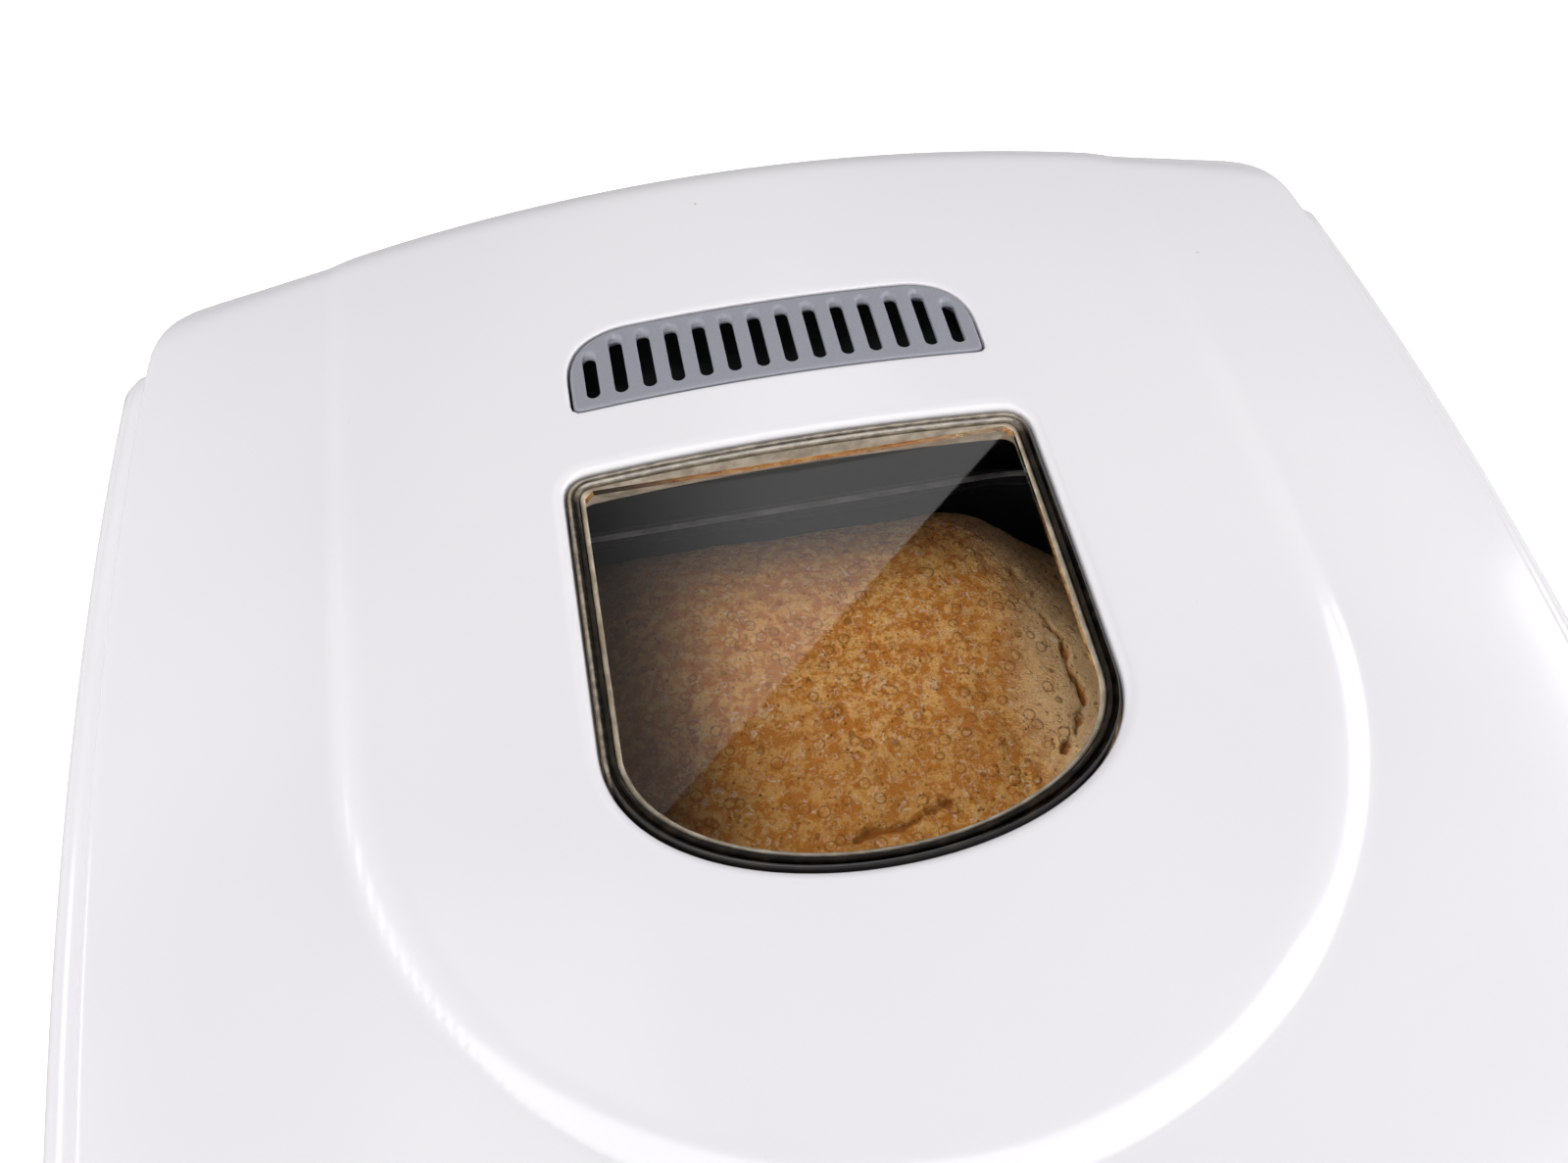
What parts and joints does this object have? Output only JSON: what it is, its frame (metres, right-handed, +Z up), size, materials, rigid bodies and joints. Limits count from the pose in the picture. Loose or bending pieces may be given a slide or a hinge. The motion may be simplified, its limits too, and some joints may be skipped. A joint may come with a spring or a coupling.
{
  "type": "bread machine",
  "caption": "Countertop bread machine: crowned hinged lid with round-ended window and steam vent, sloping control panel, twist-lock pan, belt-driven paddle and baked loaf.",
  "frame": {"origin": "middle of the footprint, on the surface that the feet stand on", "axes": "+Z up, -Y towards the front with the controls, +X to the right as seen from the front"},
  "size_m": [0.2708, 0.353, 0.2901],
  "materials": {
    "white_plastic": "glossy moulded, faint lavender tint",
    "grey_plastic": "satin, fine grain",
    "dark_plastic": "satin",
    "bronze_clear": "clear moulded, bronze at its thick edge",
    "clear_window": "clear, flat and glossy",
    "rubber": "matt",
    "steel": "drawn, bright",
    "dark_coating": "non-stick, satin with fine speckle",
    "aluminium": "die cast",
    "board": "lacquered circuit board",
    "ceramic": "glazed",
    "brass": "turned",
    "crust": "dry baked crust, speckled"
  },
  "bodies": {
    "body": {"housing_shell": "white_plastic", "base_plate": "white_plastic", "lid_deck": "white_plastic", "control_housing": "white_plastic", "foot_front_left": "rubber", "foot_rear_left": "rubber", "foot_front_right": "rubber", "foot_rear_right": "rubber", "control_fascia": "grey_plastic", "display_lens": "clear_window", "display_module": "grey_plastic", "status_light": "clear_window", "control_board": "board", "hinge_bracket_left": "white_plastic", "hinge_bracket_right": "white_plastic", "hinge_pin_left": "steel", "hinge_pin_right": "steel", "element_bush_left": "ceramic", "element_bush_right": "ceramic", "element_clip_left": "steel", "element_clip_right": "steel", "chamber_liner": "dark_coating", "heating_element": "steel", "temperature_sensor": "steel", "pan_lock_ring": "aluminium", "drive_casting": "aluminium", "shaft_bush": "brass", "drive_belt": "rubber", "motor_body": "steel", "motor_bracket": "steel", "heat_shield": "aluminium", "power_board": "board", "power_inlet": "dark_plastic", "inlet_blades": "brass"},
    "lid": {"lid_shell": "white_plastic", "lid_liner": "dark_plastic", "window_frame": "bronze_clear", "window_pane": "clear_window", "inner_pane": "clear_window", "vent_grille": "grey_plastic"},
    "pan": {"bread_pan": "dark_coating", "pan_base_ring": "aluminium", "pan_bearing": "brass", "bread_loaf": "crust"},
    "handle": {"pan_handle": "steel"},
    "paddle": {"paddle_shaft": "steel", "kneading_paddle": "dark_coating"},
    "drive": {"drive_shaft": "steel", "drive_dog": "steel", "large_pulley": "dark_plastic"},
    "motor_rotor": {"motor_pulley": "steel"},
    "button_menu": {"button_menu": "grey_plastic"},
    "button_crust": {"button_crust": "grey_plastic"},
    "button_size": {"button_size": "grey_plastic"},
    "button_time_up": {"button_time_up": "grey_plastic"},
    "button_time_down": {"button_time_down": "grey_plastic"},
    "button_start": {"button_start": "grey_plastic"}
  },
  "joints": [
    {"name": "lid_open", "type": "hinge", "parent": "body", "child": "lid", "pos_m": [0, 0.172, 0.2546], "axis": [-1, 0, 0], "range_deg": [0, 98]},
    {"name": "press_menu", "type": "slide", "parent": "body", "child": "button_menu", "axis": [0.0759, 0.3566, -0.9312], "range_m": [0, 0.0012], "stiffness_N_per_m": 400, "springref_m": -0.0005},
    {"name": "press_crust", "type": "slide", "parent": "body", "child": "button_crust", "axis": [0.0939, 0.3522, -0.9312], "range_m": [0, 0.0012], "stiffness_N_per_m": 400, "springref_m": -0.0005},
    {"name": "press_size", "type": "slide", "parent": "body", "child": "button_size", "axis": [0.1227, 0.3077, -0.9436], "range_m": [0, 0.0012], "stiffness_N_per_m": 400, "springref_m": -0.0005},
    {"name": "press_time_up", "type": "slide", "parent": "body", "child": "button_time_up", "axis": [-0.0759, 0.3566, -0.9312], "range_m": [0, 0.0012], "stiffness_N_per_m": 400, "springref_m": -0.0005},
    {"name": "press_time_down", "type": "slide", "parent": "body", "child": "button_time_down", "axis": [-0.0939, 0.3522, -0.9312], "range_m": [0, 0.0012], "stiffness_N_per_m": 400, "springref_m": -0.0005},
    {"name": "press_start", "type": "slide", "parent": "body", "child": "button_start", "axis": [-0.1227, 0.3077, -0.9436], "range_m": [0, 0.0012], "stiffness_N_per_m": 400, "springref_m": -0.0005},
    {"name": "pan_twist", "type": "hinge", "parent": "body", "child": "pan", "pos_m": [0, 0.05, 0.1], "axis": [0, 0, 1], "range_deg": [0, 16]},
    {"name": "handle_swing", "type": "hinge", "parent": "pan", "child": "handle", "pos_m": [0, 0.05, 0.2324], "axis": [-1, 0, 0], "range_deg": [0, 20]},
    {"name": "drive_spin", "type": "hinge", "parent": "body", "child": "drive", "pos_m": [0, 0.05, 0.06], "axis": [0, 0, 1], "continuous": true},
    {"name": "motor_spin", "type": "hinge", "parent": "body", "child": "motor_rotor", "pos_m": [0, -0.098, 0.04], "axis": [0, 0, 1], "continuous": true},
    {"name": "paddle_spin", "type": "hinge", "parent": "pan", "child": "paddle", "pos_m": [0, 0.05, 0.1], "axis": [0, 0, 1], "continuous": true}
  ],
  "couplings": [
    {"joint": "motor_spin", "follows": "drive_spin", "ratio": 5.625},
    {"joint": "paddle_spin", "follows": "drive_spin", "ratio": 1}
  ]
}
